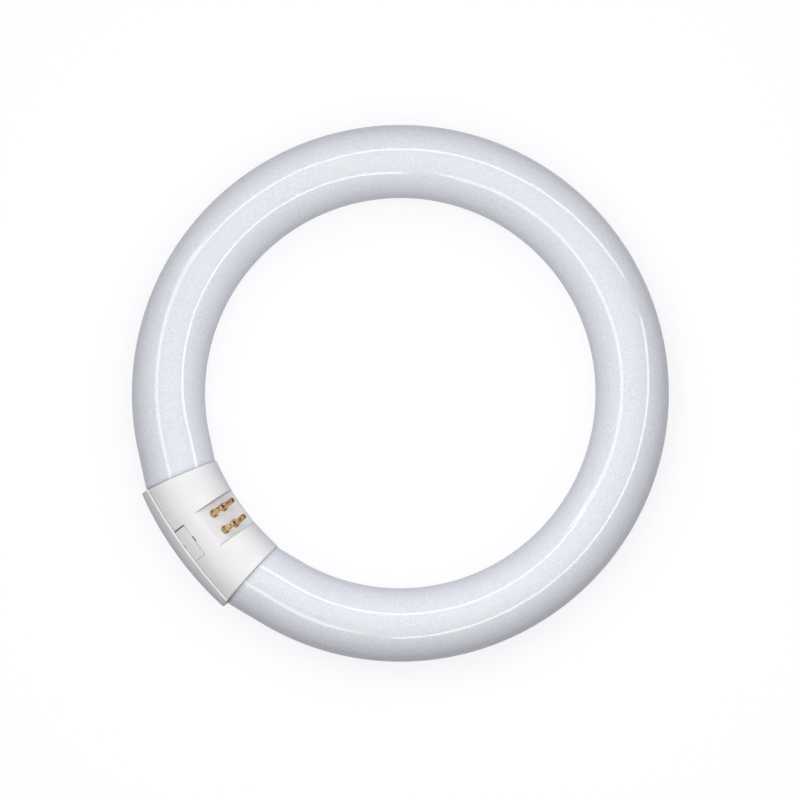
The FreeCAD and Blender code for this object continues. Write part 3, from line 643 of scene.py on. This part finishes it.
# Half the section, from the foot's bore round the outside to the tip's bore.
pin_section = [
    (PIN_BORE_RADIUS, 0), (RIVET_RADIUS, 0), (RIVET_RADIUS, RIVET_TOP), (PIN_RADIUS, RIVET_TOP),
    (PIN_RADIUS, PIN_FLOOR), (COLLAR_RADIUS, PIN_FLOOR), (COLLAR_RADIUS, COLLAR_TOP),
    (PIN_RADIUS, COLLAR_TOP), (PIN_RADIUS, PIN_TOP), (PIN_BORE_RADIUS, PIN_TOP),
]
# Corners to round, as radius and height, with the rounding and its segments.
pin_corners = [
    (RIVET_RADIUS, 0, CORNER_ROUND, CORNER_SEGMENTS),
    (RIVET_RADIUS, RIVET_TOP, CORNER_ROUND, CORNER_SEGMENTS),
    (COLLAR_RADIUS, PIN_FLOOR, CORNER_ROUND, CORNER_SEGMENTS),
    (COLLAR_RADIUS, COLLAR_TOP, CORNER_ROUND, CORNER_SEGMENTS),
    (PIN_RADIUS, COLLAR_TOP, CORNER_ROUND, CORNER_SEGMENTS),
    (PIN_BORE_RADIUS, PIN_TOP, CORNER_ROUND, CORNER_SEGMENTS),
    (PIN_RADIUS, PIN_TOP, TIP_ROUND, TIP_SEGMENTS),
]
print("a pin is", round(PIN_TOP / MM, 1), "mm long and", round(2 * PIN_RADIUS / MM, 2), "mm thick")

# %% Spin the section and round its corners
# Points closer together than this are taken as one.
SAME_POINT = 0.001 * MM


def lies_on(vert, radius, height):
    """Whether a point of an upright pin lies on the circle of this radius at this height."""
    beside = abs(vert.co.xy.length - radius)
    above = abs(vert.co.z - height)
    return beside < SAME_POINT and above < SAME_POINT


def spin_pin():
    """An upright pin without dents, its foot at the origin."""
    pin = bmesh.new()
    corners = [pin.verts.new((radius, 0, height)) for radius, height in pin_section]
    outline = [pin.edges.new(pair) for pair in zip(corners, corners[1:] + corners[:1])]
    bmesh.ops.spin(pin, geom=corners + outline, cent=(0, 0, 0), axis=(0, 0, 1), angle=2 * math.pi,
                   steps=PIN_SIDES, use_merge=True)
    bmesh.ops.remove_doubles(pin, verts=pin.verts, dist=SAME_POINT)
    bmesh.ops.recalc_face_normals(pin, faces=pin.faces)
    for radius, height, rounding, segments in pin_corners:
        ring = [edge for edge in pin.edges
                if all(lies_on(vert, radius, height) for vert in edge.verts)]
        bmesh.ops.bevel(pin, geom=ring, offset=rounding, offset_type="OFFSET", segments=segments,
                        profile=0.5, affect="EDGES", material=-1)
    return pin


# %% Crimp a pin
CRIMP_RISE = 4.9 * MM
CRIMP_LEVEL = PIN_FLOOR + CRIMP_RISE
CRIMP_HALF_WIDTH = 0.35 * MM
CRIMP_JAW_RADIUS = 0.85 * MM
CRIMP_DEPTH = 0.3 * MM
DENT_COUNT = 4
# This many cuts put the wall's rings about a tenth of a millimetre apart.
WALL_CUTS = 57


def crimp_pin(pin):
    """Cuts the plain wall into fine rings and presses four dents into it."""
    wall = [edge for edge in pin.edges
            if all(abs(vert.co.xy.length - PIN_RADIUS) < SAME_POINT for vert in edge.verts)
            and min(vert.co.z for vert in edge.verts) > COLLAR_TOP
            and abs(edge.verts[0].co.z - edge.verts[1].co.z) > CORNER_ROUND]
    bmesh.ops.subdivide_edges(pin, edges=wall, cuts=WALL_CUTS, use_grid_fill=True)
    quarter = 2 * math.pi / DENT_COUNT
    for vert in pin.verts:
        reach = vert.co.xy.length
        angle = math.atan2(vert.co.y, vert.co.x)
        beside = reach * math.sin(angle - round(angle / quarter) * quarter)
        above = vert.co.z - CRIMP_LEVEL
        on_wall = abs(reach - PIN_RADIUS) < SAME_POINT
        if on_wall and abs(beside) < CRIMP_HALF_WIDTH and abs(above) < CRIMP_JAW_RADIUS:
            jaw = math.sqrt(CRIMP_JAW_RADIUS ** 2 - above ** 2)
            depth = max(CRIMP_DEPTH - CRIMP_JAW_RADIUS + jaw, 0)
            vert.co.xy *= (reach - depth) / reach


# %% Set the four pins on their axes
pin_mounts = [mount for mount in frame["record"]["mounts"] if mount["kind"] == "pin"]
for pin_index, pin_mount in enumerate(pin_mounts, start=1):
    pin = spin_pin()
    crimp_pin(pin)
    axis = Vector(pin_mount["axis"]).normalized()
    stand_on_axis = Vector((0, 0, 1)).rotation_difference(axis).to_matrix().to_4x4()
    # The mount is in the middle of the plain wall, between the collar and the rounded tip.
    foot = Vector(pin_mount["pos_m"]) - axis * (COLLAR_TOP + PIN_TOP - TIP_ROUND) / 2
    bmesh.ops.transform(pin, matrix=Matrix.Translation(foot) @ stand_on_axis, verts=pin.verts)
    node = f"contact_pin_{pin_index}"
    node_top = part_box(node)[1].z
    pin_top = max(vert.co.z for vert in pin.verts)
    print(node, "top off by", round((pin_top - node_top) / MM, 3), "mm")
    finish_piece(f"brass_pin_{pin_index}", pin, pin_brass, "pin_brass", node)

# %% [markdown]
# ## The shells, wires and sleeves
#
# The two shells are snapped together from plain mouldings, and the wires and sleeves are swept round
# sections. The construction model has them as fine as they show, so they keep its meshes and only
# get their finishes.

# %% Dress the pieces that stay as they are
def dress(node_name, material):
    """Gives a construction node its finish through its one material slot."""
    frame["nodes"][node_name].material_slots[0].material = material
    print(node_name, "is", material.name)


LEAD_COUNT = 4
dress("front_shell", base_plastic)
dress("rear_shell", base_plastic)
for lead in range(1, LEAD_COUNT + 1):
    dress(f"lead_wire_{lead}", lead_metal)
    dress(f"lead_sleeve_{lead}", sleeve_rubber)
